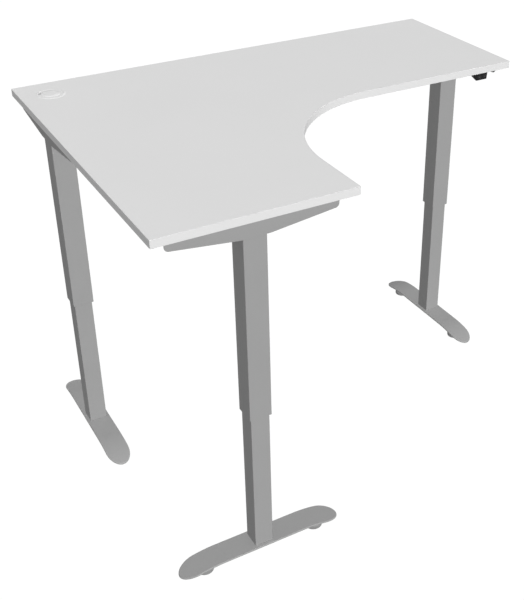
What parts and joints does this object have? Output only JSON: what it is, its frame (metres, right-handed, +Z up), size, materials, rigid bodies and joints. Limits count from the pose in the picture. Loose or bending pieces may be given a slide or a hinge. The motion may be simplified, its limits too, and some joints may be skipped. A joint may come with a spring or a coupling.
{
  "type": "height adjustable standing desk",
  "caption": "L-shaped height adjustable desk: white top with a concave bay, three motorised telescopic grey legs on arched feet, handset and cable grommet.",
  "frame": {"origin": "on the floor under the middle of the desktop's overall 1600 x 1200 mm rectangle", "axes": "+X to the seated user's right along the back edge, -Y towards the user, +Z up"},
  "size_m": [1.6, 1.2, 1.2052],
  "materials": {
    "white_laminate": "satin white melamine on chipboard",
    "white_edge": "satin white ABS",
    "grey_powder_coat": "fine grey powder coat",
    "grey_plastic": "matte moulded grey",
    "black_plastic": "fine textured black",
    "zinc_steel": "zinc plated",
    "bronze": "machined",
    "circuit_board": "solder mask"
  },
  "bodies": {
    "base_left": {"inner_tube_left": "grey_powder_coat", "base_plate_left": "zinc_steel", "foot_left": "grey_powder_coat", "spindle_nut_left": "black_plastic"},
    "top": {"desktop": "white_laminate", "edge_band": "white_edge", "grommet_ring": "white_edge", "bracket_left": "grey_powder_coat", "gear_housing_left": "black_plastic", "motor_left": "zinc_steel", "outer_tube_left": "grey_powder_coat", "guide_bush_left": "black_plastic", "bracket_right": "grey_powder_coat", "gear_housing_right": "black_plastic", "motor_right": "zinc_steel", "outer_tube_right": "grey_powder_coat", "guide_bush_right": "black_plastic", "bracket_front": "grey_powder_coat", "gear_housing_front": "black_plastic", "motor_front": "zinc_steel", "outer_tube_front": "grey_powder_coat", "guide_bush_front": "black_plastic", "rear_rail": "grey_powder_coat", "rear_rail_arm_left": "grey_powder_coat", "rear_rail_arm_right": "grey_powder_coat", "side_rail": "grey_powder_coat", "side_rail_arm_rear": "grey_powder_coat", "side_rail_arm_front": "grey_powder_coat", "control_box_case": "black_plastic", "control_box_cover": "black_plastic", "control_board": "circuit_board", "power_inlet": "black_plastic", "motor_socket_strip": "black_plastic", "handset_case": "black_plastic", "handset_board": "circuit_board"},
    "base_right": {"inner_tube_right": "grey_powder_coat", "base_plate_right": "zinc_steel", "foot_right": "grey_powder_coat", "spindle_nut_right": "black_plastic"},
    "base_front": {"inner_tube_front": "grey_powder_coat", "base_plate_front": "zinc_steel", "foot_front": "grey_powder_coat", "spindle_nut_front": "black_plastic"},
    "spindle_left": {"spindle_left": "zinc_steel", "drive_wheel_left": "bronze"},
    "spindle_right": {"spindle_right": "zinc_steel", "drive_wheel_right": "bronze"},
    "spindle_front": {"spindle_front": "zinc_steel", "drive_wheel_front": "bronze"},
    "grommet_lid": {"grommet_lid": "white_edge"},
    "button_up": {"button_up": "black_plastic"},
    "button_down": {"button_down": "black_plastic"},
    "glide_near_left": {"glide_near_left": "grey_plastic"},
    "glide_far_left": {"glide_far_left": "grey_plastic"},
    "glide_near_right": {"glide_near_right": "grey_plastic"},
    "glide_far_right": {"glide_far_right": "grey_plastic"},
    "glide_outer_front": {"glide_outer_front": "grey_plastic"},
    "glide_inner_front": {"glide_inner_front": "grey_plastic"}
  },
  "joints": [
    {"name": "lift", "type": "slide", "parent": "base_left", "child": "top", "axis": [0, 0, 1], "range_m": [-0.485, 0]},
    {"name": "right_leg_slide", "type": "slide", "parent": "top", "child": "base_right", "axis": [0, 0, 1], "range_m": [0, 0.485]},
    {"name": "front_leg_slide", "type": "slide", "parent": "top", "child": "base_front", "axis": [0, 0, 1], "range_m": [0, 0.485]},
    {"name": "spindle_turn_left", "type": "hinge", "parent": "top", "child": "spindle_left", "pos_m": [-0.745, 0.3, 1.138], "axis": [0, 0, 1], "range_deg": [-21830, 0]},
    {"name": "spindle_turn_right", "type": "hinge", "parent": "top", "child": "spindle_right", "pos_m": [0.742, 0.3, 1.138], "axis": [0, 0, 1], "range_deg": [-21830, 0]},
    {"name": "spindle_turn_front", "type": "hinge", "parent": "top", "child": "spindle_front", "pos_m": [-0.506, -0.542, 1.138], "axis": [0, 0, 1], "range_deg": [-21830, 0]},
    {"name": "grommet_lid_turn", "type": "hinge", "parent": "top", "child": "grommet_lid", "pos_m": [-0.701, 0.489, 1.202], "axis": [0, 0, 1], "continuous": true},
    {"name": "button_up_press", "type": "slide", "parent": "top", "child": "button_up", "axis": [0, 1, 0], "range_m": [0, 0.0012], "stiffness_N_per_m": 600},
    {"name": "button_down_press", "type": "slide", "parent": "top", "child": "button_down", "axis": [0, 1, 0], "range_m": [0, 0.0012], "stiffness_N_per_m": 600},
    {"name": "glide_near_left_screw", "type": "slide", "parent": "base_left", "child": "glide_near_left", "axis": [0, 0, 1], "range_m": [-0.008, 0]},
    {"name": "glide_far_left_screw", "type": "slide", "parent": "base_left", "child": "glide_far_left", "axis": [0, 0, 1], "range_m": [-0.008, 0]},
    {"name": "glide_near_right_screw", "type": "slide", "parent": "base_right", "child": "glide_near_right", "axis": [0, 0, 1], "range_m": [-0.008, 0]},
    {"name": "glide_far_right_screw", "type": "slide", "parent": "base_right", "child": "glide_far_right", "axis": [0, 0, 1], "range_m": [-0.008, 0]},
    {"name": "glide_outer_front_screw", "type": "slide", "parent": "base_front", "child": "glide_outer_front", "axis": [0, 0, 1], "range_m": [-0.008, 0]},
    {"name": "glide_inner_front_screw", "type": "slide", "parent": "base_front", "child": "glide_inner_front", "axis": [0, 0, 1], "range_m": [-0.008, 0]}
  ],
  "couplings": [
    {"joint": "right_leg_slide", "follows": "lift", "ratio": -1},
    {"joint": "front_leg_slide", "follows": "lift", "ratio": -1},
    {"joint": "spindle_turn_left", "follows": "lift", "rad_per_m": 785.4},
    {"joint": "spindle_turn_right", "follows": "lift", "rad_per_m": 785.4},
    {"joint": "spindle_turn_front", "follows": "lift", "rad_per_m": 785.4}
  ]
}
